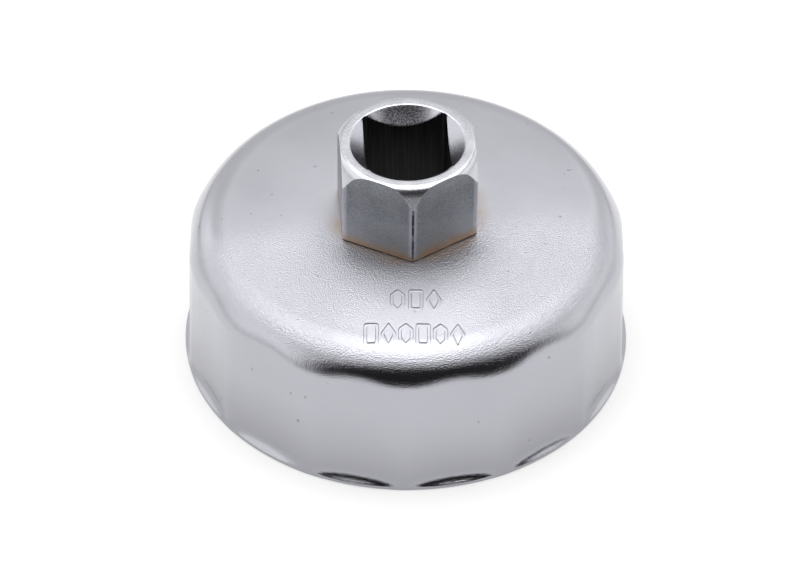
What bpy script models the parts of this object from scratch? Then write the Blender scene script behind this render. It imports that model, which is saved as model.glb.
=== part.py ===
"""Cap wrench for 65 mm spin-on oil filters: a fluted, deep-drawn steel cup with a hexagonal drive boss.

The mouth of the cup lies in the plane Z = 0 and the boss points along +Z. The sides of the square drive
hole are parallel to X and Y. Lengths are in metres.
"""

from math import cos, degrees, pi, radians, sin, sqrt, tan

import bmesh
import bpy
from mathutils import Matrix

MM = 0.001

# Cup, deep-drawn from sheet: sizes of its outer face, except where a name says inner
FLUTES = 14
INNER_ACROSS_FLATS = 65.0 * MM
SHEET = 1.25 * MM
DRAFT = 0.25 * MM  # how much each flat leans in from its foot to the shoulder
RIM_HEIGHT = 0.6 * MM
FLAT_FOOT = 2.1 * MM  # height at which the flats begin, above the round rim
SHOULDER_RADIUS = 6.0 * MM
CROWN_HEIGHT = 26.1 * MM  # of the flat seat that the boss stands on
SEAT_RADIUS = 12.3 * MM
CROWN_DROP = 0.65 * MM  # how far the crown curves down from the seat to the shoulder
ROUND_FROM = 62.0  # degrees up the shoulder at which it has turned from fourteen-sided to round
FLUTE_TURN = -4.57  # degrees from the boss's -Y corner to the nearest ridge between flutes
STEPS_PER_FLUTE = 6
SHOULDER_STEPS = 8
CROWN_STEPS = 3

# Drive boss, forged, with a round collar that locates it in the cup's pierced hole
HEX_ACROSS_FLATS = 20.64 * MM  # 13/16 inch
HEX_EDGE_RADIUS = 0.5 * MM
OVERALL_HEIGHT = 40.1 * MM
CHAMFER_START = 10.45 * MM  # distance from the axis of the corner between the top flat and the chamfer
CHAMFER_SLOPE = 54.0  # degrees that the turned chamfer slopes down from the top flat
CHAMFER_END = 11.05 * MM  # distance from the axis of the corner at which it turns steeper
CORNER_SLOPE = 75.0  # degrees that it slopes down where it runs out past the hexagon's corners
TOP_SOFTNESS = 1.1 * MM  # radius of the bend between the top flat and the chamfer
CHAMFER_SOFTNESS = 2.3 * MM  # radius of the bend between the chamfer's two slopes
COLLAR_RADIUS = 9.8 * MM
COLLAR_PROUD = 1.45 * MM  # how far the collar stands out of the crown's inner face
SQUARE = 12.9 * MM  # female half-inch drive
SQUARE_EDGE_RADIUS = 0.7 * MM
COUNTERSINK_RADIUS = 9.0 * MM
COUNTERSINK_DEPTH = 2.35 * MM  # at the middle of each side of the square

# Weld that holds the collar to the cup from inside
BEAD_WIDTH = 1.7 * MM
BEAD_DEPTH = 1.0 * MM

GAP = 0.3 * MM  # between pieces that touch
ROUND_STEPS = 64
EDGE_STEPS = 3
BEND_STEPS = 5
PAST = 3.0 * MM  # how far a cutter runs beyond what it cuts

flat_apothem = INNER_ACROSS_FLATS / 2 + SHEET
half_flute = pi / FLUTES
rim_radius = flat_apothem / cos(half_flute)
shoulder_foot = CROWN_HEIGHT - CROWN_DROP - SHOULDER_RADIUS
shoulder_centre = flat_apothem - DRAFT - SHOULDER_RADIUS
inner_crown = CROWN_HEIGHT - SHEET
boss_foot = CROWN_HEIGHT + GAP
hex_corner = HEX_ACROSS_FLATS / sqrt(3)


def clear_scene():
    for obj in list(bpy.data.objects):
        bpy.data.objects.remove(obj)


def new_collection(name):
    collection = bpy.data.collections.new(name)
    bpy.context.scene.collection.children.link(collection)
    return collection


def metal(name, colour, roughness):
    material = bpy.data.materials.new(name)
    material.use_nodes = True
    shader = material.node_tree.nodes["Principled BSDF"]
    shader.inputs["Base Color"].default_value = (*colour, 1.0)
    shader.inputs["Metallic"].default_value = 1.0
    shader.inputs["Roughness"].default_value = roughness
    return material


def object_from(bm, name, collection):
    """A mesh object made from bm, which is freed."""
    mesh = bpy.data.meshes.new(name)
    bm.to_mesh(mesh)
    bm.free()
    obj = bpy.data.objects.new(name, mesh)
    collection.objects.link(obj)
    return obj


def finish_piece(obj, material, sharp_angle):
    obj.data.materials.append(material)
    obj.data.shade_smooth()
    obj.data.set_sharp_from_angle(angle=radians(sharp_angle))


def hide_cutter(obj):
    obj.hide_render = True
    obj.display_type = "WIRE"
    return obj


def add_boolean(obj, operation, other):
    modifier = obj.modifiers.new(other.name, "BOOLEAN")
    modifier.operation = operation
    modifier.solver = "EXACT"
    modifier.object = other


def turned(name, profile, collection, closed=False):
    """A body of revolution about Z. profile is a list of (radius, height), downwards on its outer side."""
    bm = bmesh.new()
    verts = [bm.verts.new((radius, 0, height)) for radius, height in profile]
    pairs = list(zip(verts, verts[1:]))
    if closed:
        pairs.append((verts[-1], verts[0]))
    for pair in pairs:
        bm.edges.new(pair)
    obj = object_from(bm, name, collection)
    screw = obj.modifiers.new("turn", "SCREW")
    screw.steps = ROUND_STEPS
    screw.render_steps = ROUND_STEPS
    screw.use_merge_vertices = True
    screw.merge_threshold = 0.00001
    return obj


def prism(name, radius, sides, low, high, edge_radius, collection):
    """An upright prism with a corner on the Y axis and rounded upright edges."""
    bm = bmesh.new()
    bmesh.ops.create_cone(
        bm,
        cap_ends=True,
        segments=sides,
        radius1=radius,
        radius2=radius,
        depth=high - low,
        matrix=Matrix.Translation((0, 0, (low + high) / 2)),
    )
    upright = [edge for edge in bm.edges if abs(edge.verts[0].co.z - edge.verts[1].co.z) > PAST]
    if edge_radius:
        reach = edge_radius * tan(pi / sides)
        bmesh.ops.bevel(
            bm, geom=upright, offset=reach, offset_type="OFFSET", segments=EDGE_STEPS, profile=0.5,
            affect="EDGES",
        )
    return object_from(bm, name, collection)


def fluted_share(climb):
    """1 where the shoulder is fully fourteen-sided, 0 where it is round; climb is in degrees."""
    part = min(climb / ROUND_FROM, 1.0)
    return 0.5 + 0.5 * cos(pi * part)


def wall_apothem(height):
    """Distance from the axis to the middle of a flat's outer face."""
    return flat_apothem - DRAFT * (height - FLAT_FOOT) / (shoulder_foot - FLAT_FOOT)


def cup_levels():
    """(apothem, height, fluted share) of the cup's outer face, from the mouth to the hole in the crown."""
    levels = [
        (rim_radius, 0.0, 0.0),
        (rim_radius, RIM_HEIGHT, 0.0),
        (flat_apothem, FLAT_FOOT, 1.0),
        (wall_apothem(FLAT_FOOT + SHEET), FLAT_FOOT + SHEET, 1.0),
    ]
    crown_edge_slope = 2 * CROWN_DROP / (shoulder_centre - SEAT_RADIUS)
    last_climb = 90.0 - degrees(crown_edge_slope)
    for step in range(SHOULDER_STEPS + 1):
        climb = last_climb * step / SHOULDER_STEPS
        apothem = shoulder_centre + SHOULDER_RADIUS * cos(radians(climb))
        height = shoulder_foot + SHOULDER_RADIUS * sin(radians(climb))
        levels.append((apothem, height, fluted_share(climb)))
    edge = levels[-1][0]
    drop = CROWN_HEIGHT - levels[-1][1]
    for step in range(1, CROWN_STEPS + 1):
        share = 1 - step / CROWN_STEPS
        levels.append((SEAT_RADIUS + (edge - SEAT_RADIUS) * share, CROWN_HEIGHT - drop * share ** 2, 0.0))
    levels.append((COLLAR_RADIUS + GAP, CROWN_HEIGHT, 0.0))
    return levels


def cup_ring(bm, apothem, height, share):
    """The vertices of one level: a circle, a fourteen-sided outline or a mix of the two."""
    ring = []
    first_ridge = radians(FLUTE_TURN) - pi / 2
    for index in range(FLUTES * STEPS_PER_FLUTE):
        past_ridge = (index % STEPS_PER_FLUTE) / STEPS_PER_FLUTE * 2 * half_flute
        from_middle = past_ridge - half_flute
        radius = apothem * (1 + share * (1 / cos(from_middle) - 1))
        angle = first_ridge + index / STEPS_PER_FLUTE * 2 * half_flute
        ring.append(bm.verts.new((radius * cos(angle), radius * sin(angle), height)))
    return ring


def make_cup(collection, material):
    """The fluted cup: a loft between unlike sections, thickened inwards to the sheet's gauge."""
    bm = bmesh.new()
    rings = [cup_ring(bm, *level) for level in cup_levels()]
    for lower, upper in zip(rings, rings[1:]):
        for index, vert in enumerate(lower):
            after = (index + 1) % len(lower)
            bm.faces.new((vert, lower[after], upper[after], upper[index]))
    cup = object_from(bm, "cup_shell", collection)
    solidify = cup.modifiers.new("sheet", "SOLIDIFY")
    solidify.thickness = SHEET
    solidify.offset = -1.0
    solidify.use_even_offset = True
    finish_piece(cup, material, 40)
    return cup


def bend(radius, height, first, last, softness):
    """Points of the round bend at a corner of the boss's outline, whose slope grows from first to last degrees."""
    first_slope = radians(first)
    reach = softness * tan(radians(last - first) / 2)
    centre_radius = radius - reach * cos(first_slope) - softness * sin(first_slope)
    centre_height = height + reach * sin(first_slope) - softness * cos(first_slope)
    points = []
    for step in range(BEND_STEPS + 1):
        slope = radians(first + (last - first) * step / BEND_STEPS)
        points.append((centre_radius + softness * sin(slope), centre_height + softness * cos(slope)))
    return points


def top_profile():
    """(radius, height) points of the body that turns the boss's top: a flat, then the bent chamfer."""
    chamfer_foot = OVERALL_HEIGHT - (CHAMFER_END - CHAMFER_START) * tan(radians(CHAMFER_SLOPE))
    points = [(0, OVERALL_HEIGHT)]
    points += bend(CHAMFER_START, OVERALL_HEIGHT, 0.0, CHAMFER_SLOPE, TOP_SOFTNESS)
    points += bend(CHAMFER_END, chamfer_foot, CHAMFER_SLOPE, CORNER_SLOPE, CHAMFER_SOFTNESS)
    radius, height = points[-1]
    points.append((radius + (height - boss_foot + PAST) / tan(radians(CORNER_SLOPE)), boss_foot - PAST))
    points.append((0, boss_foot - PAST))
    return points


def countersink_profile():
    """(radius, height) points of the cone that opens the top of the square hole."""
    slope = COUNTERSINK_DEPTH / (COUNTERSINK_RADIUS - SQUARE / 2)
    top = OVERALL_HEIGHT + PAST
    tip = OVERALL_HEIGHT - COUNTERSINK_RADIUS * slope
    return [(0, top), (COUNTERSINK_RADIUS + PAST / slope, top), (0, tip)]


def make_boss(collection, cutters, material):
    """The hexagonal boss with its turned top, its collar, and the square drive hole right through it."""
    collar_end = inner_crown - COLLAR_PROUD
    boss = prism("drive_boss", hex_corner, 6, boss_foot, OVERALL_HEIGHT + PAST, HEX_EDGE_RADIUS, collection)
    top = turned("top_outline", top_profile(), cutters)
    collar_top = boss_foot + PAST
    collar_profile = [(0, collar_top), (COLLAR_RADIUS, collar_top), (COLLAR_RADIUS, collar_end), (0, collar_end)]
    collar = turned("collar", collar_profile, cutters)
    square = prism(
        "square_cutter", SQUARE / sqrt(2), 4, collar_end - PAST, OVERALL_HEIGHT + PAST, SQUARE_EDGE_RADIUS,
        cutters,
    )
    square.rotation_euler.z = pi / 4
    countersink = turned("countersink_cutter", countersink_profile(), cutters)
    add_boolean(boss, "INTERSECT", hide_cutter(top))
    add_boolean(boss, "UNION", hide_cutter(collar))
    add_boolean(boss, "DIFFERENCE", hide_cutter(square))
    add_boolean(boss, "DIFFERENCE", hide_cutter(countersink))
    finish_piece(boss, material, 25)
    return boss


def make_bead(collection, material):
    """The weld bead in the corner between the collar and the crown's inner face."""
    inside = COLLAR_RADIUS + GAP
    top = inner_crown - GAP
    profile = [(inside, top)]
    for step in range(EDGE_STEPS + 1):
        turn = pi / 2 * step / EDGE_STEPS
        profile.append((inside + BEAD_WIDTH * cos(turn), top - BEAD_DEPTH * (0.25 + 0.75 * sin(turn))))
    bead = turned("weld_bead", profile, collection, closed=True)
    finish_piece(bead, material, 60)
    return bead


def main():
    clear_scene()
    pieces = new_collection("oil_filter_cap_wrench")
    cutters = new_collection("cutters")
    plated = metal("plated_steel", (0.70, 0.71, 0.74), 0.32)
    forged = metal("forged_plated_steel", (0.60, 0.61, 0.63), 0.36)
    weld = metal("weld_metal", (0.36, 0.30, 0.26), 0.5)
    frame = bpy.data.objects.new("oil_filter_cap_wrench", None)
    pieces.objects.link(frame)
    for piece in (
        make_cup(pieces, plated),
        make_boss(pieces, cutters, forged),
        make_bead(pieces, weld),
    ):
        piece.parent = frame


main()
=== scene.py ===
"""Looks of the oil filter cap wrench: a fluted plated cup, its hexagonal drive boss and their weld.

Everything is in metres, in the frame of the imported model: mouth plane at Z = 0, boss upwards.
"""

import math

import bmesh
import bpy
from mathutils import Matrix, Quaternion, Vector


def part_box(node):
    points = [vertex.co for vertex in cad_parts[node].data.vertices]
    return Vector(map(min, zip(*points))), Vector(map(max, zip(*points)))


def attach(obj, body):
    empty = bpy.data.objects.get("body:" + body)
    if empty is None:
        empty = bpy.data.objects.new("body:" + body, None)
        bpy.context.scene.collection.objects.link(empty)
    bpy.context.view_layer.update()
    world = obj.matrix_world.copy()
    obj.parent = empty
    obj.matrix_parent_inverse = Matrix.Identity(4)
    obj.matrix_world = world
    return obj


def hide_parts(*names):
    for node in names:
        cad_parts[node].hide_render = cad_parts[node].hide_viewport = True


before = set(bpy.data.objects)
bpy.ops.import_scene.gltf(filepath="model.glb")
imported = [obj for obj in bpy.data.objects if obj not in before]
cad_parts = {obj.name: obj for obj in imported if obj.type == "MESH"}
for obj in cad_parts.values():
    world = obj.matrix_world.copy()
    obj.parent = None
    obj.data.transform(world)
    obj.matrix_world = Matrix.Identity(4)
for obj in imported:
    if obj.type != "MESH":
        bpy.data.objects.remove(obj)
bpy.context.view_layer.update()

MM = 0.001
MICRON = 0.000001
TAU = 2 * math.pi

# Sizes read from the frame
cup_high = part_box("cup_shell")[1]
boss_low, boss_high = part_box("drive_boss")
bead_low, bead_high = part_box("weld_bead")
seat_height = cup_high[2]
rim_radius = cup_high[0]
hex_apothem = boss_high[0]
boss_top = boss_high[2]
collar_end = boss_low[2]

# Cup
FLUTES = 14
SHEET = 1.25 * MM
DRAFT = 0.25 * MM  # how much each flat leans in
RIM_BAND = 0.6 * MM  # height of the round rim
FLAT_FOOT = 1.5 * MM  # height at which the flats begin
FOOT_FILLET = 2.2 * MM
SHOULDER_RADIUS = 6.0 * MM
SEAT_RADIUS = 12.3 * MM
CROWN_DROP = 0.65 * MM  # how far the crown falls from the boss's seat to the shoulder
ROUND_FROM = 36.0  # degrees up the shoulder at which it has turned from fourteen-sided to round
FLUTE_TURN = -4.57  # degrees from -Y to the nearest ridge
RIDGE_LOW = 4.0 * MM  # rounding of the ridges between flats, at the mouth
RIDGE_HIGH = 20.0 * MM  # and at the shoulder
EDGE_SOFTNESS = 0.2 * MM
FLUTE_STEPS = 28
SHOULDER_STEPS = 36
CROWN_STEPS = 24

# Boss
HEX_EDGE_RADIUS = 0.5 * MM
CHAMFER_START = 10.45 * MM  # distance from the axis of the corner between top and chamfer
CHAMFER_SLOPE = 56.0  # degrees
CHAMFER_END = 11.05 * MM  # distance from the axis at which the chamfer turns steeper
CORNER_SLOPE = 73.0  # degrees, out to the hexagon's corners
CHAMFER_REACH = 3.0 * MM  # how far beyond CHAMFER_END the outline runs
TOP_SOFTNESS = 0.95 * MM
CHAMFER_SOFTNESS = 3.1 * MM
ARC_EDGE = 0.1 * MM  # rounding of the arcs between the chamfer and the flats
ARC_INSET = 0.09 * MM  # how far inside the flats the chamfer's first row lies
FOOT_EDGE = 0.1 * MM  # rounding of the hexagon's lower edge
COLLAR_RADIUS = 9.8 * MM
COLLAR_EDGE = 0.2 * MM  # rounding of the collar's lower edge
SQUARE_HALF = 6.45 * MM
SQUARE_EDGE_RADIUS = 0.8 * MM
SQUARE_LIP = 0.1 * MM  # rounding between the countersink and the square
SQUARE_END = 0.12 * MM  # rounding of the square's lower edge
SQUARE_SHIFT = 0.25 * MM  # how far the square lies from the axis, along +Y
COUNTERSINK_RADIUS = 8.87 * MM
COUNTERSINK_DEPTH = 2.53 * MM
COUNTERSINK_HOLLOW = 0.06  # how far the cone sags, as a share of its depth
LIP_WIDTH = 0.45 * MM  # of the ring of faces round the countersink
LIP_RADIUS = 0.3 * MM  # rounding between the top and the countersink
SEAM = 0.18 * MM  # gap between the boss and its seat
DOME_ROWS = 22
CONE_ROWS = 8
FLATS, TURNED, SUNK, BROACHED, COLLAR = 0, 1, 2, 3, 4

# Weld bead
BEAD_OVERLAP = 0.1 * MM  # how far it reaches into the collar
BEAD_RISE = 0.05 * MM  # and into the crown's sheet
BEAD_SWELL = 0.93  # its size between the ripples, as a share of the box that the frame gives
BEAD_WAVES = (
    # share of the bead's size, waves round the bead and where the wave starts, in radians
    (0.05, 52, 0.0),
    (0.03, 7, 1.0),
    (0.02, 3, 0.0),
)
BEAD_LIP = 0.12  # depth of the bead's outer edge, as a share of its whole depth
BEAD_CURVE = 0.84  # and of the curve below it
BEAD_COLUMNS = 360
BEAD_STEPS = 10

# Seam filler: rows outside the collar, by how far inside the hexagon and how high above the seat they lie
SEAM_OUTSIDE = (
    (0.16 * MM, -0.05 * MM),
    (0.1 * MM, 0.02 * MM),
    (0.13 * MM, 0.1 * MM),
    (0.2 * MM, 0.16 * MM),
)
SEAM_INSIDE = (0.16 * MM, -0.05 * MM)  # heights of the rows along the collar
SEAM_CLEARANCE = 0.02 * MM  # how far those rows lie outside the collar

# Stamped marks: plain outlines, in rows between the boss and the shoulder
MARK_WIDTH = 1.75 * MM
MARK_HEIGHT = 3.8 * MM
MARK_STROKE = 0.55 * MM
MARK_DEPTH = 0.22 * MM
MARK_SOFTNESS = 0.3  # rounding of the corners, as a share of the mark's half width
MARK_TURN = -4.57  # degrees
MARK_POINTS = 64
MARK_SECTION = (
    # the groove's section: shares of the stroke across and of the depth upwards
    (-0.56, 0.5),
    (-0.5, 0),
    (-0.36, -0.9),
    (-0.2, -1),
    (0.2, -1),
    (0.36, -0.9),
    (0.5, 0),
    (0.56, 0.5),
)
# Number of corners and the direction of the first one, in degrees
HEXAGON, BOX, DIAMOND = (6, 90), (4, 45), (4, 90)
MARK_ROWS = (
    # distance of the row's middle from the axis, its shift across, the pitch of its marks, and the marks
    (19.9 * MM, 1.45 * MM, 2.75 * MM, (HEXAGON, BOX, DIAMOND)),
    (27.0 * MM, 1.3 * MM, 2.6 * MM, (BOX, DIAMOND, HEXAGON, BOX, HEXAGON, DIAMOND)),
)

# Angles beyond which an edge between two faces is drawn sharp, in degrees
CUP_CREASE = 35
BOSS_CREASE = 28
BEAD_CREASE = 50
SEAM_CREASE = 40

# Camera
CAMERA_AZIMUTH = -4.57
CAMERA_ELEVATION = 41.96
CAMERA_ROLL = 0.45
CAMERA_DISTANCE = 772.9 * MM
CAMERA_LENS = 225.0
CAMERA_OVER = 20.35 * MM
AIM_ACROSS = -0.97 * MM
AIM_AWAY = -4.61 * MM
AIM_HEIGHT = 15.2 * MM

flat_apothem = rim_radius * math.cos(math.pi / FLUTES)
shoulder_foot = seat_height - CROWN_DROP - SHOULDER_RADIUS
shoulder_centre = flat_apothem - DRAFT - SHOULDER_RADIUS
crown_edge_slope = 2 * CROWN_DROP / (shoulder_centre - SEAT_RADIUS)
boss_foot = seat_height + SEAM


# ---------------------------------------------------------------- shapes


def rounded(points):
    """Points along an outline. points is a list of (radius, height, corner radius, steps)."""
    out = []
    last = len(points) - 1
    for index, (x, y, corner, steps) in enumerate(points):
        here = Vector((x, y))
        if index in (0, last) or not corner:
            out.append(here)
            continue
        before = (Vector(points[index - 1][:2]) - here).normalized()
        after = (Vector(points[index + 1][:2]) - here).normalized()
        half = before.angle(after) / 2
        reach = corner / math.tan(half)
        centre = here + (before + after).normalized() * (corner / math.sin(half))
        start = here + before * reach - centre
        end = here + after * reach - centre
        turn = start.angle_signed(end)
        for step in range(steps + 1):
            spin = Matrix.Rotation(-turn * step / steps, 2)
            out.append(centre + spin @ start)
    return out


def mesh_object(name, bm):
    """A new object in the scene, made from a bmesh."""
    mesh = bpy.data.meshes.new(name)
    bm.to_mesh(mesh)
    bm.free()
    obj = bpy.data.objects.new(name, mesh)
    bpy.context.scene.collection.objects.link(obj)
    return obj


def lofted(name, rows, bands=None):
    """A closed mesh through rows of points, each row a closed ring with the same number of points.

    bands gives the material index of the faces that start at each row.
    """
    bm = bmesh.new()
    rings = [[bm.verts.new(point) for point in row] for row in rows]
    for number, lower in enumerate(rings):
        upper = rings[(number + 1) % len(rings)]
        for index, vert in enumerate(lower):
            after = (index + 1) % len(lower)
            face = bm.faces.new((vert, lower[after], upper[after], upper[index]))
            face.material_index = bands[number] if bands else 0
    bmesh.ops.recalc_face_normals(bm, faces=bm.faces)
    return mesh_object(name, bm)


def smooth(obj, angle):
    """Smooth shading, with sharp edges where faces meet at more than angle degrees."""
    obj.data.shade_smooth()
    obj.data.set_sharp_from_angle(angle=math.radians(angle))


def polygon_radius(angle, apothem, sides, corner, first_corner):
    """Polar radius of a regular polygon with rounded corners; a corner points at first_corner."""
    half = math.pi / sides
    from_corner = (angle - first_corner + half) % (2 * half) - half
    tangent = math.atan((apothem - corner) * math.tan(half) / apothem)
    from_flat = half - abs(from_corner)
    if from_flat <= tangent:
        return apothem / math.cos(from_flat)
    centre = (apothem - corner) / math.cos(half)
    across = centre * math.sin(from_corner)
    return centre * math.cos(from_corner) + math.sqrt(corner ** 2 - across ** 2)


# ---------------------------------------------------------------- cup


def crown_height(radius):
    """Height of the crown's outer face, flat at the boss's seat and slightly domed outside it."""
    share = max(radius - SEAT_RADIUS, 0.0) / (shoulder_centre - SEAT_RADIUS)
    return seat_height - CROWN_DROP * share ** 2


def flute_share(radius, height):
    """1 where the cup is fourteen-sided, 0 where it is round; radius is that of the outer face."""
    if height < FLAT_FOOT + FOOT_FILLET:
        return min(max((rim_radius - radius) / (rim_radius - flat_apothem), 0.0), 1.0)
    if height <= shoulder_foot:
        return 1.0
    climb = math.degrees(math.atan2(height - shoulder_foot, max(radius - shoulder_centre, 1e-9)))
    return 0.5 + 0.5 * math.cos(math.pi * min(climb / ROUND_FROM, 1.0))


def crown_outline(inset):
    """(radius, height) points of the shoulder and the crown, from the wall to the hole.

    inset is how far they lie inside the outer face.
    """
    points = []
    last_climb = math.pi / 2 - crown_edge_slope
    for step in range(SHOULDER_STEPS + 1):
        climb = last_climb * step / SHOULDER_STEPS
        reach = SHOULDER_RADIUS - inset
        across = shoulder_centre + reach * math.cos(climb)
        points.append((across, shoulder_foot + reach * math.sin(climb)))
    edge = points[-1][0]
    for step in range(1, CROWN_STEPS + 1):
        radius = edge + (SEAT_RADIUS - edge) * step / CROWN_STEPS
        points.append((radius, crown_height(radius) - inset))
    points.append((COLLAR_RADIUS + SEAM, seat_height - inset))
    return points


def cup_outline():
    """The cup's section at the middle of a flat: outer face upwards, then inner face downwards."""
    wall_top = (flat_apothem - DRAFT, shoulder_foot)
    outer = [
        (rim_radius - SHEET / 2, 0, 0, 0),
        (rim_radius, 0, EDGE_SOFTNESS, 4),
        (rim_radius, RIM_BAND, EDGE_SOFTNESS, 5),
        (flat_apothem, FLAT_FOOT, FOOT_FILLET, 10),
        (*wall_top, 0, 0),
    ]
    inner = [
        (wall_top[0] - SHEET, wall_top[1], 0, 0),
        (flat_apothem - SHEET, FLAT_FOOT, FOOT_FILLET + SHEET, 8),
        (rim_radius - SHEET, RIM_BAND, EDGE_SOFTNESS, 4),
        (rim_radius - SHEET, 0, EDGE_SOFTNESS, 4),
        (rim_radius - SHEET / 2, 0, 0, 0),
    ]
    outside = rounded(outer)[:-1] + crown_outline(0.0)
    inside = crown_outline(SHEET)[::-1] + rounded(inner)[1:-1]
    return outside, inside


def ridge_radius(height):
    """Radius of the ridges between the flats, which are softer towards the shoulder."""
    return RIDGE_LOW + (RIDGE_HIGH - RIDGE_LOW) * min(max(height / shoulder_foot, 0.0), 1.0)


def cup_ring(radius, height, inset):
    """One level of the cup. inset is how far the face lies inside the outer one."""
    first_ridge = math.radians(FLUTE_TURN) - math.pi / 2
    share = flute_share(radius + inset, height)
    corner = ridge_radius(height) - inset
    ring = []
    for index in range(FLUTES * FLUTE_STEPS):
        angle = first_ridge + TAU * index / (FLUTES * FLUTE_STEPS)
        fluted = polygon_radius(angle, radius, FLUTES, corner, first_ridge)
        polar = radius + share * (fluted - radius)
        ring.append((polar * math.cos(angle), polar * math.sin(angle), height))
    return ring


def cup_surface(radius):
    """Height of the cup's outer face at this radius, over the crown and the shoulder's upper half."""
    if radius <= shoulder_centre:
        return crown_height(radius)
    return shoulder_foot + math.sqrt(max(SHOULDER_RADIUS ** 2 - (radius - shoulder_centre) ** 2, 0.0))


def mark_path(sides, first_corner, grown):
    """One outline of a mark: a regular polygon with soft corners, stretched to the mark's size and grown."""
    points = []
    for index in range(MARK_POINTS):
        angle = TAU * index / MARK_POINTS
        reach = polygon_radius(angle, 1.0, sides, MARK_SOFTNESS, math.radians(first_corner))
        points.append(Vector((reach * math.cos(angle), reach * math.sin(angle))))
    wide = (MARK_WIDTH / 2 + grown) / max(point.x for point in points)
    tall = (MARK_HEIGHT / 2 + grown) / max(point.y for point in points)
    return [Vector((point.x * wide, point.y * tall)) for point in points]


def make_mark(bm, sides, first_corner, across, towards):
    """A closed ribbon with a flat floor that follows the crown's face; it cuts one mark."""
    turn = Matrix.Rotation(math.radians(MARK_TURN), 3, "Z")
    rings = []
    for shift, level in MARK_SECTION:
        ring = []
        for flat in mark_path(sides, first_corner, shift * MARK_STROKE):
            x = across + flat.x
            y = flat.y - towards
            height = cup_surface(math.hypot(x, y)) + level * MARK_DEPTH
            ring.append(bm.verts.new(turn @ Vector((x, y, height))))
        rings.append(ring)
    for number, ring in enumerate(rings):
        ahead = rings[(number + 1) % len(rings)]
        for index in range(MARK_POINTS):
            after = (index + 1) % MARK_POINTS
            bm.faces.new((ring[index], ring[after], ahead[after], ahead[index]))


def stamp_marks(cup):
    """Cuts the rows of plain marks into the crown."""
    bm = bmesh.new()
    for towards, shift, pitch, kinds in MARK_ROWS:
        for index, (sides, first_corner) in enumerate(kinds):
            across = shift + (index - (len(kinds) - 1) / 2) * pitch
            make_mark(bm, sides, first_corner, across, towards)
    bmesh.ops.recalc_face_normals(bm, faces=bm.faces)
    cutter = mesh_object("mark_cutter", bm)
    cutter.data.shade_smooth()
    modifier = cup.modifiers.new("marks", "BOOLEAN")
    modifier.operation = "DIFFERENCE"
    modifier.solver = "EXACT"
    modifier.object = cutter
    graph = bpy.context.evaluated_depsgraph_get()
    stamped = bpy.data.meshes.new_from_object(cup.evaluated_get(graph))
    cup.modifiers.clear()
    cup.data = stamped
    bpy.data.objects.remove(cutter)


def make_cup():
    """The cup, with its hole in the crown and the marks stamped into it."""
    outer, inner = cup_outline()
    rows = [cup_ring(x, z, 0.0) for x, z in outer]
    rows += [cup_ring(x, z, SHEET) for x, z in inner]
    cup = lofted("fluted_cup", rows)
    smooth(cup, CUP_CREASE)
    cup.data.materials.append(sheet_material())
    stamp_marks(cup)
    smooth(cup, CUP_CREASE)
    return cup


# ---------------------------------------------------------------- boss


def top_outline():
    """(radius, height) points of the boss's turned top, from the axis to beyond the hexagon's corners."""
    chamfer_foot = boss_top - (CHAMFER_END - CHAMFER_START) * math.tan(math.radians(CHAMFER_SLOPE))
    outline_foot = chamfer_foot - CHAMFER_REACH * math.tan(math.radians(CORNER_SLOPE))
    return rounded([
        (0, boss_top, 0, 0),
        (CHAMFER_START, boss_top, TOP_SOFTNESS, 10),
        (CHAMFER_END, chamfer_foot, CHAMFER_SOFTNESS, 8),
        (CHAMFER_END + CHAMFER_REACH, outline_foot, 0, 0),
    ])


TOP_OUTLINE = top_outline()


def dome_height(radius):
    """Height of the turned top at this radius."""
    for inner, outer in zip(TOP_OUTLINE, TOP_OUTLINE[1:]):
        if radius <= outer.x:
            return inner.y + (outer.y - inner.y) * (radius - inner.x) / (outer.x - inner.x)
    return TOP_OUTLINE[-1].y


def countersink_height(radius):
    """Height of the countersink, a cone that is a little hollow."""
    share = (COUNTERSINK_RADIUS - radius) / (COUNTERSINK_RADIUS - SQUARE_HALF)
    return boss_top - COUNTERSINK_DEPTH * (share + COUNTERSINK_HOLLOW * share * (1 - share))


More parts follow.
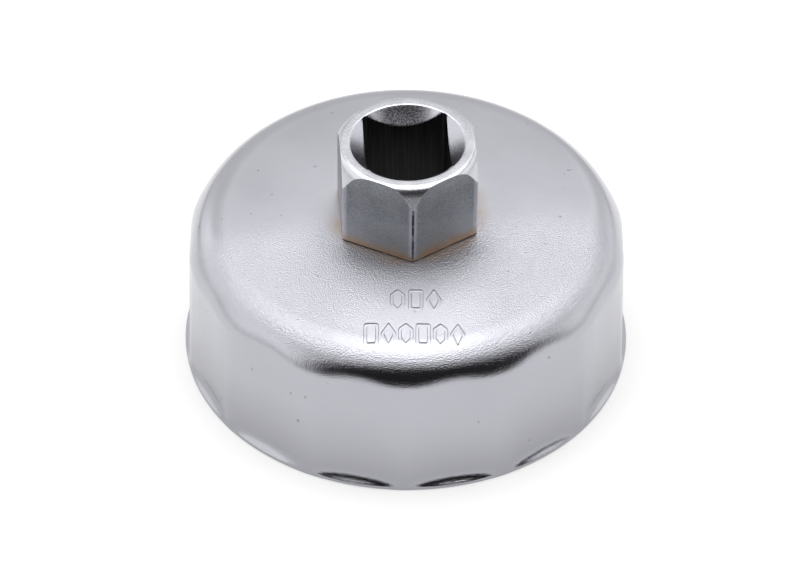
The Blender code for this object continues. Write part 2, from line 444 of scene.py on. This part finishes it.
def boss_outline(angle):
    """The boss's section in one direction, the shift of each point along Y, and the band that it starts.

    It goes up the hexagon, over the top, down the countersink and the square, and back along the collar.
    """
    hexagon = polygon_radius(angle, hex_apothem, 6, HEX_EDGE_RADIUS, math.pi / 2)
    square = polygon_radius(angle, SQUARE_HALF, 4, SQUARE_EDGE_RADIUS, math.pi / 4)
    top_start = hexagon - ARC_INSET
    side = [
        (COLLAR_RADIUS, boss_foot, 0, 0),
        (hexagon, boss_foot, FOOT_EDGE, 3),
        (hexagon, dome_height(hexagon), ARC_EDGE, 3),
        (top_start, dome_height(top_start), 0, 0),
    ]
    lip = COUNTERSINK_RADIUS + LIP_WIDTH
    top = []
    for step in range(DOME_ROWS + 1):
        radius = top_start + (lip - top_start) * step / DOME_ROWS
        top.append((radius, dome_height(radius)))
    hole = [(lip, boss_top, 0, 0), (COUNTERSINK_RADIUS, boss_top, LIP_RADIUS, 3)]
    for step in range(1, CONE_ROWS):
        radius = COUNTERSINK_RADIUS + (square - COUNTERSINK_RADIUS) * step / CONE_ROWS
        hole.append((radius, countersink_height(radius), 0, 0))
    hole += [
        (square, countersink_height(square), SQUARE_LIP, 3),
        (square, collar_end, SQUARE_END, 2),
        (COLLAR_RADIUS, collar_end, COLLAR_EDGE, 3),
        (COLLAR_RADIUS, boss_foot, 0, 0),
    ]
    side_points = rounded(side)[:-1]
    hole_points = rounded(hole)[1:-1]
    points = side_points + top + hole_points
    # Each band ends part of the way round a bend
    bands = [FLATS] * (len(side_points) - 3)
    bands += [TURNED] * (len(top) + 5)
    bands += [SUNK] * (CONE_ROWS + 4)
    bands += [BROACHED] * 3
    bands += [COLLAR] * (len(points) - len(bands))
    shifts = [0.0] * (len(side_points) + len(top))
    for radius, _ in hole_points:
        share = (COUNTERSINK_RADIUS - radius) / (COUNTERSINK_RADIUS - square)
        shifts.append(SQUARE_SHIFT * min(max(share, 0.0), 1.0))
    return points, shifts, bands


def boss_angles():
    """Directions of the boss's columns, closer together at the edges of the hexagon and the square."""
    angles = {round(step * 1.0, 3) for step in range(360)}
    for edge in range(6):
        angles |= {round((30 + 60 * edge + step * 0.15) % 360, 3) for step in range(-13, 14)}
    for edge in range(4):
        angles |= {round((45 + 90 * edge + step * 0.4) % 360, 3) for step in range(-9, 10)}
    return sorted(angles)


def make_boss():
    """The drive boss, one column of its section after another round the axis."""
    columns = []
    for degrees in boss_angles():
        angle = math.radians(degrees)
        points, shifts, bands = boss_outline(angle)
        across, away = math.cos(angle), math.sin(angle)
        columns.append([(x * across, x * away + shift, z) for (x, z), shift in zip(points, shifts)])
    rows = [list(row) for row in zip(*columns)]
    boss = lofted("drive_hexagon", rows, bands)
    smooth(boss, BOSS_CREASE)
    turned = turned_material()
    # In the order of the bands: flats, top, countersink, square and collar
    for material in (flats_material(), turned, sunk_material(), broached_material(), turned):
        boss.data.materials.append(material)
    return boss


# ---------------------------------------------------------------- weld and seam


def make_bead():
    """The weld bead inside the cup, with the ripples of a hand-held torch."""
    inside = COLLAR_RADIUS - BEAD_OVERLAP
    top = seat_height - SHEET + BEAD_RISE
    width = bead_high[0] - inside
    depth = top - bead_low[2]
    rows = []
    for index in range(BEAD_COLUMNS):
        angle = TAU * index / BEAD_COLUMNS
        ripple = sum(share * math.sin(waves * angle + start) for share, waves, start in BEAD_WAVES)
        ring = [(inside, top)]
        for step in range(BEAD_STEPS + 1):
            turn = math.pi / 2 * step / BEAD_STEPS
            swell = BEAD_SWELL + ripple * math.sin(2 * turn)
            across = inside + width * swell * math.cos(turn)
            down = depth * (BEAD_LIP + BEAD_CURVE * swell * math.sin(turn))
            ring.append((across, top - down))
        rows.append([(x * math.cos(angle), x * math.sin(angle), z) for x, z in ring])
    bead = lofted("weld_ripple", rows)
    smooth(bead, BEAD_CREASE)
    bead.data.materials.append(bead_material())
    return bead


def make_seam():
    """The burnt filler in the joint between the boss and its seat."""
    angles = [math.radians(degrees) for degrees in boss_angles()]
    rows = []
    for inset, height in SEAM_OUTSIDE:
        row = []
        for angle in angles:
            edge = polygon_radius(angle, hex_apothem - inset, 6, HEX_EDGE_RADIUS, math.pi / 2)
            row.append((edge * math.cos(angle), edge * math.sin(angle), seat_height + height))
        rows.append(row)
    edge = COLLAR_RADIUS + SEAM_CLEARANCE
    for height in SEAM_INSIDE:
        level = seat_height + height
        rows.append([(edge * math.cos(angle), edge * math.sin(angle), level) for angle in angles])
    seam = lofted("seam_fill", rows)
    smooth(seam, SEAM_CREASE)
    seam.data.materials.append(seam_material())
    return seam


# ---------------------------------------------------------------- nodes


def node_math(tree, operation, *values):
    """The output of a Math node; each value is a number or a socket."""
    node = tree.nodes.new("ShaderNodeMath")
    node.operation = operation
    for socket, value in zip(node.inputs, values):
        if isinstance(value, (int, float)):
            socket.default_value = value
        else:
            tree.links.new(value, socket)
    return node.outputs[0]


def node_range(tree, value, from_low, from_high, to_low=0.0, to_high=1.0):
    """value moved smoothly from one range to another; from_low may be the larger end."""
    node = tree.nodes.new("ShaderNodeMapRange")
    node.interpolation_type = "SMOOTHSTEP"
    tree.links.new(value, node.inputs["Value"])
    node.inputs["From Min"].default_value = from_low
    node.inputs["From Max"].default_value = from_high
    node.inputs["To Min"].default_value = to_low
    node.inputs["To Max"].default_value = to_high
    return node.outputs["Result"]


def node_noise(tree, point, size, detail=2.0, stretch=(1, 1, 1)):
    """Noise between 0 and 1 whose features are about size metres, longer where stretch is below 1."""
    mapping = tree.nodes.new("ShaderNodeMapping")
    mapping.inputs["Scale"].default_value = stretch
    tree.links.new(point, mapping.inputs["Vector"])
    noise = tree.nodes.new("ShaderNodeTexNoise")
    noise.inputs["Scale"].default_value = 1.0 / size
    noise.inputs["Detail"].default_value = detail
    tree.links.new(mapping.outputs["Vector"], noise.inputs["Vector"])
    return noise.outputs["Fac"]


def node_mix(tree, share, first, second):
    """A colour between first and second; each is a colour or a socket."""
    node = tree.nodes.new("ShaderNodeMix")
    node.data_type = "RGBA"
    tree.links.new(share, node.inputs[0])
    for socket, colour in ((node.inputs[6], first), (node.inputs[7], second)):
        if isinstance(colour, tuple):
            socket.default_value = (*colour, 1.0)
        else:
            tree.links.new(colour, socket)
    return node.outputs[2]


def node_sum(tree, *values):
    """The sum of numbers and sockets."""
    total = values[0]
    for value in values[1:]:
        total = node_math(tree, "ADD", total, value)
    return total


def node_product(tree, *values):
    """The product of numbers and sockets."""
    total = values[0]
    for value in values[1:]:
        total = node_math(tree, "MULTIPLY", total, value)
    return total


class Surface:
    """A Principled material with the position sockets that its nodes share."""

    def __init__(self, name, metallic=1.0):
        self.material = bpy.data.materials.new(name)
        self.material.use_nodes = True
        self.tree = self.material.node_tree
        self.shader = self.tree.nodes["Principled BSDF"]
        self.shader.inputs["Metallic"].default_value = metallic
        self.point = self.tree.nodes.new("ShaderNodeTexCoord").outputs["Object"]
        split = self.tree.nodes.new("ShaderNodeSeparateXYZ")
        self.tree.links.new(self.point, split.inputs["Vector"])
        self.x, self.y, self.z = split.outputs
        square = node_sum(
            self.tree,
            node_product(self.tree, self.x, self.x),
            node_product(self.tree, self.y, self.y),
        )
        self.radius = node_math(self.tree, "SQRT", square)

    def colour(self, socket):
        self.tree.links.new(socket, self.shader.inputs["Base Color"])

    def roughness(self, socket):
        self.tree.links.new(socket, self.shader.inputs["Roughness"])

    def relief(self, microns):
        """Bump from a height in microns."""
        bump = self.tree.nodes.new("ShaderNodeBump")
        bump.inputs["Strength"].default_value = 1.0
        bump.inputs["Distance"].default_value = MICRON
        self.tree.links.new(microns, bump.inputs["Height"])
        self.tree.links.new(bump.outputs["Normal"], self.shader.inputs["Normal"])


# Reflection colours
PLATE = (0.4, 0.402, 0.438)
PLATE_LIGHT = (0.438, 0.44, 0.476)
# Painted shade at the foot of the wall
PLATE_LOW_SHADE = (0.37, 0.372, 0.4)
# Painted shade: dark dots of the grain's sparkle, and the boss's reflection on the crown
PLATE_PAINTED_SHADE = (0.2, 0.202, 0.23)
# Painted highlight: glints of the grain
PLATE_PAINTED_GLINT = (0.72, 0.72, 0.75)
PLATE_TURNED = (0.62, 0.625, 0.66)
FORGING = (0.315, 0.325, 0.338)
FORGING_DARK = (0.18, 0.19, 0.205)
# The square's walls: dark steel, near black as painted shade of the deep hole
BORE_STEEL_AND_SHADE = (0.01, 0.01, 0.01)
BORE_LIGHT = (0.05, 0.05, 0.052)
HEAT_TAN = (0.36, 0.25, 0.16)
HEAT_BLUE = (0.20, 0.23, 0.33)
SPECK = (0.12, 0.12, 0.13)
# Painted dark reflection and shade on the hexagon's front crest, its left rear edge and the countersink's
# back
PAINTED_DARK_SHADE = (0.05, 0.05, 0.055)
SOOT = (0.02, 0.012, 0.008)
RUST = (0.09, 0.05, 0.028)

# Zones of the sheet, each from where it starts to where it is full. Heights:
SATIN_ZONE = (seat_height - 2.3 * MM, seat_height - 0.7 * MM)
COARSE_ZONE = (seat_height - 4.2 * MM, seat_height - 1.4 * MM)
CROWN_ZONE = (seat_height - 4.6 * MM, seat_height - 2.4 * MM)
CREASE_HEIGHTS = (seat_height - 6 * MM, seat_height - 4 * MM)
# Painted shade: the wall darker towards its foot, where it reflects the part's shadow on the floor
LOW_SHADE_ZONE = (14 * MM, 1 * MM)
INSIDE_ZONE = (seat_height - 0.5 * MM, seat_height - SHEET + 0.1 * MM)
# Distances from the axis:
BURNT_ZONE = (13.6 * MM, 10.8 * MM)
TEMPERED_ZONE = (20 * MM, 12 * MM)
BLUE_ZONE = (13 * MM, 17 * MM)
# painted shade where the crown reflects the boss, in front of it
BOSS_REFLECTION_ZONE = (17 * MM, 12 * MM)
# Places along Y:
# painted shade where the crown reflects the boss, in front of it
BOSS_REFLECTION_SIDE = (-6 * MM, -11 * MM)
MARKED_SIDE = (2 * MM, -14 * MM)
# The drawing crease on the shoulder: a ring at this distance from the axis, fading out on both sides
CREASE_RADIUS = 31.3 * MM
CREASE_WIDTH = (0.2 * MM, 0.02 * MM)
# The oval round the marks in which the stamp has flattened the grain, by its middle and half its size
STAMPED_MIDDLE = (-0.8 * MM, -23.5 * MM)
STAMPED_REACH = (15 * MM, 11 * MM)
STAMPED_DEPTH = (0.5, 1.0)  # shares of the grain's depth, at the oval's middle and outside it
SIDE_DEPTH = (0.08, 1.15)  # and behind the boss and on the marked side
# Sizes of the sheet's features
GRAIN_SIZE = 0.2 * MM
SPARKLE_SIZE = 0.17 * MM
STREAK_SIZE = 0.5 * MM
SPECK_SIZE = 1.0 * MM
PEEL_SIZE = 1.5 * MM
CREASE_GAPS = 0.8 * MM
BURNT_PATCHES = 4 * MM
CLOUD_SIZE = 9 * MM
# Heights of the sheet's relief, in microns
CROWN_GRAIN = 145.0
WALL_GRAIN = 32.0
WALL_STREAKS = 16.0
PEEL_HEIGHT = 10.0
CREASE_HEIGHT = -9.0
# Roughness of the bare sheet, and what the satin crown, the clouds and the grain add to it
SHEET_ROUGHNESS = 0.1
SATIN_ROUGHNESS = 0.2
CLOUD_ROUGHNESS = 0.06
GRAIN_ROUGHNESS = 0.04


def node_gap(tree, value, middle):
    """How far value is from middle, on either side."""
    return node_math(tree, "ABSOLUTE", node_math(tree, "SUBTRACT", value, middle))


def grain_depth(s):
    """Depth of the crown's grain: deeper on the marked side, and pressed flatter round the marks."""
    t = s.tree
    across = node_math(t, "DIVIDE", node_math(t, "SUBTRACT", s.x, STAMPED_MIDDLE[0]), STAMPED_REACH[0])
    along = node_math(t, "DIVIDE", node_math(t, "SUBTRACT", s.y, STAMPED_MIDDLE[1]), STAMPED_REACH[1])
    spread = node_sum(t, node_product(t, across, across), node_product(t, along, along))
    return node_product(
        t,
        node_range(t, s.z, *COARSE_ZONE),
        node_range(t, s.y, *MARKED_SIDE, *SIDE_DEPTH),
        node_range(t, spread, 0.0, 1.0, *STAMPED_DEPTH),
    )


def sheet_colour(s, crown, clouds):
    """Colour of the plated sheet, with its specks and the tints of the weld's heat, painted glints and dark
    dots of the grain's sparkle, painted shade where the crown reflects the boss and painted shade darker
    towards the wall's foot.
    """
    t = s.tree
    specks = node_range(t, node_noise(t, s.point, SPECK_SIZE, detail=0.0), 0.845, 0.875)
    sparkle = node_noise(t, s.point, SPARKLE_SIZE, detail=1.0)
    # painted shade where the crown reflects the boss, in front of it
    boss_reflection_shade = node_product(t, node_range(t, s.radius, *BOSS_REFLECTION_ZONE), node_range(t, s.y, *BOSS_REFLECTION_SIDE), crown)
    patches = node_range(t, node_noise(t, s.point, BURNT_PATCHES, detail=3.0), 0.35, 0.7)
    burnt = node_product(t, node_range(t, s.radius, *BURNT_ZONE), patches)
    inside = node_product(t, node_range(t, s.z, *INSIDE_ZONE), node_range(t, s.radius, *TEMPERED_ZONE))
    tempered = node_mix(t, node_range(t, s.radius, *BLUE_ZONE), HEAT_TAN, HEAT_BLUE)
    plate = node_mix(t, clouds, PLATE, PLATE_LIGHT)
    # Each layer: the colour over the plate, where it lies and how strong it is there
    for colour, place, strength in (
        # painted shade, darker towards the wall's foot
        (PLATE_LOW_SHADE, node_range(t, s.z, *LOW_SHADE_ZONE), 1.0),
        # painted sparkle of the grain: dark dots of painted shade, then painted glints
        (PLATE_PAINTED_SHADE, node_product(t, node_range(t, sparkle, 0.42, 0.25), crown), 0.06),
        (PLATE_PAINTED_GLINT, node_product(t, node_range(t, sparkle, 0.58, 0.75), crown), 0.06),
        (SPECK, specks, 0.5),
        # painted shade where the crown reflects the boss
        (PLATE_PAINTED_SHADE, boss_reflection_shade, 0.6),
        (HEAT_TAN, burnt, 0.55),
        (tempered, inside, 0.7),
    ):
        plate = node_mix(t, node_product(t, place, strength), plate, colour)
    return plate


def sheet_material():
    """Plated sheet, grainy on the crown, smoother with drawing streaks on the wall, tinted by the weld."""
    s = Surface("plated_sheet")
    t = s.tree
    crown = node_range(t, s.z, *CROWN_ZONE)
    wall = node_math(t, "SUBTRACT", 1.0, crown)
    grain = node_noise(t, s.point, GRAIN_SIZE)
    clouds = node_noise(t, s.point, CLOUD_SIZE)
    peel = node_noise(t, s.point, PEEL_SIZE, detail=1.0)
    streaks = node_noise(t, s.point, STREAK_SIZE, stretch=(1, 1, 0.06))
    crease = node_product(
        t,
        node_range(t, node_gap(t, s.radius, CREASE_RADIUS), *CREASE_WIDTH),
        node_range(t, node_noise(t, s.point, CREASE_GAPS, detail=1.0), 0.4, 0.6),
        node_range(t, s.z, *CREASE_HEIGHTS),
    )
    s.colour(sheet_colour(s, crown, clouds))
    s.roughness(node_sum(
        t,
        SHEET_ROUGHNESS,
        node_product(t, node_range(t, s.z, *SATIN_ZONE), SATIN_ROUGHNESS),
        node_product(t, clouds, CLOUD_ROUGHNESS),
        node_product(t, grain, GRAIN_ROUGHNESS),
    ))
    s.relief(node_sum(
        t,
        node_product(t, grain, grain_depth(s), CROWN_GRAIN),
        node_product(t, grain, wall, WALL_GRAIN),
        node_product(t, peel, PEEL_HEIGHT),
        node_product(t, streaks, wall, WALL_STREAKS),
        node_product(t, crease, CREASE_HEIGHT),
    ))
    return s.material


# Zones of the boss, each from where it starts to where it is full. Heights of the tint and of the painted
# shade that darkens the flats towards the top:
TINT_ZONE = (boss_foot + 1.2 * MM, boss_foot - 0.7 * MM)
TOP_SHADE_ZONE = (boss_foot + 1.5 * MM, boss_foot + 11 * MM)
# Distances from the axis of the painted highlights along the edges and of the crests that carry the painted
# dark line:
EDGE_HIGHLIGHT_ZONE = (11.45 * MM, 11.75 * MM)
CREST_ZONE = (11.79 * MM, 11.825 * MM)
# Places of the painted dark reflection on the front edge, of the painted shade on the left rear edge and of
# the painted shade at the countersink's back:
FRONT_Y = (-8 * MM, -11 * MM)
REAR_X = (-9 * MM, -10 * MM)
REAR_Y = (4.3 * MM, 5.1 * MM)
BACK_SHADE_Y = (3 * MM, 6 * MM)
BACK_SHADE_X = (5.2 * MM, 2 * MM)
# Sizes of the boss's features
TOOL_MARKS = 0.16 * MM
FORGED_GRAIN = 0.26 * MM
TURNED_GRAIN = 0.3 * MM
BROACH_STREAKS = 0.3 * MM
EDGE_BREAKS = 1.4 * MM
TINT_WAVES = 2.2 * MM
TURNED_CLOUDS = 2.5 * MM
FORGED_CLOUDS = 3 * MM
TINT_WANDER = 1.6 * MM  # how far the upper edge of the tint goes up and down


def foot_tint(s, colour):
    """colour with the brown of the weld's heat along the boss's foot."""
    t = s.tree
    wander = node_product(t, node_noise(t, s.point, TINT_WAVES, detail=3.0), TINT_WANDER)
    low = node_range(t, node_math(t, "SUBTRACT", s.z, wander), *TINT_ZONE)
    return node_mix(t, node_product(t, low, 0.85), colour, HEAT_TAN)


def flats_material():
    """Forged flats of the hexagon, thinly plated and of uneven tone, with painted shade darker towards the
    top, painted highlights along the edges and a painted dark line along the front crest and the left rear
    edge.
    """
    s = Surface("plated_forging_flats")
    t = s.tree
    grain = node_noise(t, s.point, FORGED_GRAIN, detail=3.0)
    clouds = node_noise(t, s.point, FORGED_CLOUDS)
    # painted highlight on the rounded vertical edges, which are also smoother
    edge = node_range(t, s.radius, *EDGE_HIGHLIGHT_ZONE)
    # painted dark reflection along the front edge's crest, broken in places
    front = node_product(
        t,
        node_range(t, s.radius, *CREST_ZONE),
        node_range(t, s.y, *FRONT_Y),
        node_range(t, node_noise(t, s.point, EDGE_BREAKS, detail=1.0), 0.3, 0.6, 0.55, 1.0),
    )
    # painted shade along the left rear edge
    rear = node_product(t, node_range(t, s.x, *REAR_X), node_range(t, s.y, *REAR_Y))
    # painted shade darker towards the top of the flats, with random tone from the clouds and the grain
    shade_and_tone = node_sum(
        t,
        node_product(t, node_range(t, s.z, *TOP_SHADE_ZONE), 0.7),
        node_range(t, clouds, 0.3, 0.7, -0.12, 0.18),
        node_range(t, grain, 0.35, 0.65, -0.3, 0.3),
    )
    base = node_mix(t, node_math(t, "MAXIMUM", shade_and_tone, 0.0), FORGING, FORGING_DARK)
    # painted highlight along the edges
    base = node_mix(t, edge, base, PLATE_LIGHT)
    # painted dark reflection and shade on the front crest and the left rear edge
    base = node_mix(t, node_math(t, "MAXIMUM", front, rear), base, PAINTED_DARK_SHADE)
    s.colour(foot_tint(s, base))
    s.roughness(node_sum(t, 0.3, node_product(t, grain, 0.1), node_product(t, edge, -0.1)))
    s.relief(node_sum(t, node_product(t, grain, 30.0), node_product(t, clouds, 8.0)))
    return s.material


def turned_material():
    """Turned top and chamfer of the hexagon, with fine tool marks round the axis."""
    s = Surface("plated_forging_turned")
    t = s.tree
    rings = t.nodes.new("ShaderNodeCombineXYZ")
    t.links.new(s.radius, rings.inputs["X"])
    t.links.new(s.z, rings.inputs["Y"])
    tool = node_noise(t, rings.outputs["Vector"], TOOL_MARKS, detail=1.0)
    grain = node_noise(t, s.point, TURNED_GRAIN)
    clouds = node_noise(t, s.point, TURNED_CLOUDS)
    s.colour(node_mix(t, clouds, PLATE_LIGHT, PLATE_TURNED))
    s.roughness(node_sum(t, 0.2, node_product(t, grain, 0.1), node_product(t, clouds, 0.06)))
    s.relief(node_sum(t, node_product(t, tool, 3.0), node_product(t, grain, 14.0)))
    return s.material


def sunk_material():
    """Countersink, with a speckled painted shade at the back."""
    s = Surface("plated_forging_countersink")
    t = s.tree
    grain = node_noise(t, s.point, FORGED_GRAIN, detail=3.0)
    shade_specks = node_range(t, grain, 0.42, 0.6)
    # painted shade at the countersink's back, speckled by the grain
    far = node_product(t, node_range(t, s.y, *BACK_SHADE_Y), node_range(t, node_math(t, "ABSOLUTE", s.x), *BACK_SHADE_X))
    back_shade = node_product(t, far, node_sum(t, 0.6, node_product(t, shade_specks, 0.35)))
    s.colour(node_mix(t, back_shade, PLATE_LIGHT, PAINTED_DARK_SHADE))
    s.roughness(node_sum(t, 0.2, node_product(t, grain, 0.1)))
    s.relief(node_product(t, grain, 14.0))
    return s.material


def broached_material():
    """Walls of the square, dark steel made near black as painted shade of the deep hole, streaked along the
    broach's travel.
    """
    s = Surface("broached_forging")
    t = s.tree
    broach = node_noise(t, s.point, BROACH_STREAKS, stretch=(1, 1, 0.04))
    s.colour(node_mix(t, broach, BORE_STEEL_AND_SHADE, BORE_LIGHT))
    s.roughness(node_sum(t, 0.3, node_product(t, broach, 0.2)))
    s.relief(node_product(t, broach, 12.0))
    return s.material


# Sizes of the weld's and the seam's features
WELD_GRAIN = 0.25 * MM
WELD_PATCHES = 2.4 * MM
SEAM_GRAIN = 0.2 * MM
SEAM_PATCHES = 1.2 * MM


def bead_material():
    """Weld metal, straw and blue from its own heat."""
    s = Surface("weld_bead_metal")
    t = s.tree
    patches = node_noise(t, s.point, WELD_PATCHES, detail=3.0)
    grain = node_noise(t, s.point, WELD_GRAIN, detail=3.0)
    warm = node_mix(t, node_range(t, patches, 0.35, 0.65), HEAT_TAN, HEAT_BLUE)
    s.colour(node_mix(t, node_range(t, grain, 0.5, 0.7, 0.0, 0.7), warm, SPECK))
    s.roughness(node_sum(t, 0.34, node_product(t, grain, 0.2)))
    s.relief(node_sum(t, node_product(t, grain, 20.0), node_product(t, patches, 40.0)))
    return s.material


def seam_material():
    """Burnt brown filler."""
    s = Surface("burnt_seam", metallic=0.0)
    t = s.tree
    patches = node_noise(t, s.point, SEAM_PATCHES, detail=3.0)
    s.colour(node_mix(t, node_range(t, patches, 0.3, 0.7), SOOT, RUST))
    s.roughness(node_range(t, patches, 0.2, 0.8, 0.6, 0.85))
    s.relief(node_product(t, node_noise(t, s.point, SEAM_GRAIN, detail=3.0), 20.0))
    return s.material


# ---------------------------------------------------------------- stage

# Floor: half its size, how far it lies under the part, its colour and its glow near the part and far away
FLOOR_REACH = 3.0
FLOOR_DROP = 0.05 * MM
FLOOR_NEAR = (0.5, 0.5, 0.5)
FLOOR_FAR = (0.06, 0.06, 0.06)
FLOOR_GLOW = 0.37
SIDE_GLOW = 0.6
GLOW_NEAR = 60 * MM
GLOW_FAR = 270 * MM
ALBEDO_NEAR = 110 * MM
ALBEDO_FAR = 300 * MM
SIDE_FROM = (-0.8, -0.45)  # Y over distance from the axis, from the dim front to the glowing sides

# Softbox: its diameter, its power in watts and its place
SOFTBOX_SIZE = 0.28
SOFTBOX_POWER = 0.4
SOFTBOX_PLACE = (0.0, 0.025, 0.25)

# Light tent: its strength, and its brightness at shares of the way from the horizon to overhead
WORLD_STRENGTH = 2.3
TENT_STOPS = ((0.0, 0.37), (0.22, 0.4), (0.42, 0.33), (0.55, 0.57), (0.72, 0.76), (1.0, 0.25))
# The tent's opening, in degrees from the middle of the front and above the horizon: where its left, right
# and top edges go from light to dark, the middle and half width of the level part of its top edge, the
# slope of that edge beyond it, and the share of the light that the opening takes away
OPENING_LEFT = (-60.0, -36.0)
OPENING_RIGHT = (94.0, 58.0)
OPENING_TOP = (44.5, 37.5)
OPENING_MIDDLE = 8.0
OPENING_LEVEL = 18.0
OPENING_SLOPE = 0.5
OPENING_DARKNESS = 0.98
# Lighter panels, by the X and Z of a direction: one on each side, and a box left and right of the front
PANEL_X = (0.4, 0.8)
PANEL_Z = (0.62, 0.45)
PANEL_LIGHT = 0.26
BOX_Z = (0.25, 0.45)
LEFT_BOX = ((-0.5, -0.68), (-0.86, -0.68))
RIGHT_BOX = ((0.15, 0.32), (0.5, 0.32))
BOX_LIGHT = 0.36


def make_camera():
    """The camera, looking down at the marked side of the wrench."""
    data = bpy.data.cameras.new("camera")
    data.lens = CAMERA_LENS
    data.sensor_width = 36.0
    data.clip_start = 0.05
    data.clip_end = 20.0
    camera = bpy.data.objects.new("camera", data)
    bpy.context.scene.collection.objects.link(camera)
    turn = math.radians(CAMERA_AZIMUTH)
    lift = math.radians(CAMERA_ELEVATION)
    across = Vector((math.cos(turn), math.sin(turn), 0))
    away = Vector((-math.sin(turn), math.cos(turn), 0))
    back = -away * math.cos(lift) + Vector((0, 0, math.sin(lift)))
    camera.location = back * CAMERA_DISTANCE + Vector((0, 0, CAMERA_OVER))
    target = across * AIM_ACROSS + away * AIM_AWAY + Vector((0, 0, AIM_HEIGHT))
    look = (target - camera.location).to_track_quat("-Z", "Y")
    camera.rotation_mode = "QUATERNION"
    camera.rotation_quaternion = look @ Quaternion((0, 0, 1), math.radians(CAMERA_ROLL))
    bpy.context.scene.camera = camera


def make_floor():
    """A plain white floor that glows near the part and at the sides, and is dim far in front of it."""
    bm = bmesh.new()
    bmesh.ops.create_grid(bm, x_segments=2, y_segments=2, size=FLOOR_REACH)
    floor = mesh_object("floor", bm)
    floor.location.z = -FLOOR_DROP
    s = Surface("floor", metallic=0.0)
    t = s.tree
    s.colour(node_mix(t, node_range(t, s.radius, ALBEDO_FAR, ALBEDO_NEAR), FLOOR_FAR, FLOOR_NEAR))
    s.shader.inputs["Roughness"].default_value = 0.9
    s.shader.inputs["Emission Color"].default_value = (1, 1, 1, 1)
    near = node_product(t, node_range(t, s.radius, GLOW_FAR, GLOW_NEAR), FLOOR_GLOW)
    aside = node_range(t, node_math(t, "DIVIDE", s.y, s.radius), *SIDE_FROM)
    far = node_product(t, node_range(t, s.radius, GLOW_NEAR, GLOW_FAR), aside, SIDE_GLOW)
    t.links.new(node_sum(t, near, far), s.shader.inputs["Emission Strength"])
    floor.data.materials.append(s.material)


def make_softbox():
    """A soft disk light above the crown, hidden from the camera."""
    data = bpy.data.lights.new("softbox", "AREA")
    data.shape = "DISK"
    data.size = SOFTBOX_SIZE
    data.energy = SOFTBOX_POWER
    softbox = bpy.data.objects.new("softbox", data)
    softbox.location = SOFTBOX_PLACE
    softbox.visible_camera = False
    bpy.context.scene.collection.objects.link(softbox)


def tent_ramp(tree, height):
    """Brightness of the tent by the height of a direction in degrees."""
    ramp = tree.nodes.new("ShaderNodeValToRGB")
    ramp.color_ramp.interpolation = "EASE"
    elements = ramp.color_ramp.elements
    while len(elements) < len(TENT_STOPS):
        elements.new(0.5)
    for element, (place, light) in zip(elements, TENT_STOPS):
        element.position = place
        element.color = (light, light, light, 1)
    tree.links.new(node_math(tree, "DIVIDE", height, 90.0), ramp.inputs["Fac"])
    return ramp.outputs["Color"]


def tent_opening(tree, sideways, height):
    """1 in the tent's opening, 0 outside it; the opening's top edge slopes down on both sides."""
    off_level = node_math(tree, "SUBTRACT", node_gap(tree, sideways, OPENING_MIDDLE), OPENING_LEVEL)
    sloping = node_product(tree, node_math(tree, "MAXIMUM", off_level, 0.0), OPENING_SLOPE)
    return node_product(
        tree,
        node_range(tree, sideways, *OPENING_LEFT),
        node_range(tree, sideways, *OPENING_RIGHT),
        node_range(tree, node_sum(tree, height, sloping), *OPENING_TOP),
        OPENING_DARKNESS,
    )


def tent_panels(tree, x, z):
    """Extra light of the two panels at the sides and of the two boxes nearer the front."""
    beside = node_product(
        tree,
        node_range(tree, node_math(tree, "ABSOLUTE", x), *PANEL_X),
        node_range(tree, z, *PANEL_Z),
        PANEL_LIGHT,
    )
    raised = node_range(tree, z, *BOX_Z)
    boxes = [
        node_product(tree, node_range(tree, x, *outer), node_range(tree, x, *inner), raised)
        for outer, inner in (LEFT_BOX, RIGHT_BOX)
    ]
    return node_sum(tree, beside, node_product(tree, node_sum(tree, *boxes), BOX_LIGHT))


def make_world():
    """A white light tent that is brightest overhead and open, and so dark, in front of the part."""
    world = bpy.data.worlds.new("studio")
    bpy.context.scene.world = world
    world.use_nodes = True
    tree = world.node_tree
    coordinates = tree.nodes.new("ShaderNodeTexCoord")
    turned = tree.nodes.new("ShaderNodeMapping")
    turned.vector_type = "POINT"
    turned.inputs["Rotation"].default_value = (0, 0, math.radians(-CAMERA_AZIMUTH))
    tree.links.new(coordinates.outputs["Generated"], turned.inputs["Vector"])
    split = tree.nodes.new("ShaderNodeSeparateXYZ")
    tree.links.new(turned.outputs["Vector"], split.inputs["Vector"])
    x, y, z = split.outputs
    sideways = node_product(tree, node_math(tree, "ARCTAN2", x, node_product(tree, y, -1.0)), 180 / math.pi)
    height = node_product(tree, node_math(tree, "ARCSINE", z), 180 / math.pi)
    walls = node_sum(tree, tent_ramp(tree, height), tent_panels(tree, x, z))
    closed = node_math(tree, "SUBTRACT", 1.0, tent_opening(tree, sideways, height))
    background = tree.nodes["Background"]
    background.inputs["Color"].default_value = (1, 1, 1, 1)
    tree.links.new(node_product(tree, walls, closed, WORLD_STRENGTH), background.inputs["Strength"])


make_camera()
for piece, node, slot in (
    (make_cup(), "cup_shell", "plated_sheet"),
    (make_boss(), "drive_boss", "plated_forging"),
    (make_bead(), "weld_bead", "weld_metal"),
    (make_seam(), None, "weld_metal"),
):
    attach(piece, "root")
    if node:
        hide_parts(node)
make_floor()
make_softbox()
make_world()
bpy.context.scene.view_settings.view_transform = "Standard"
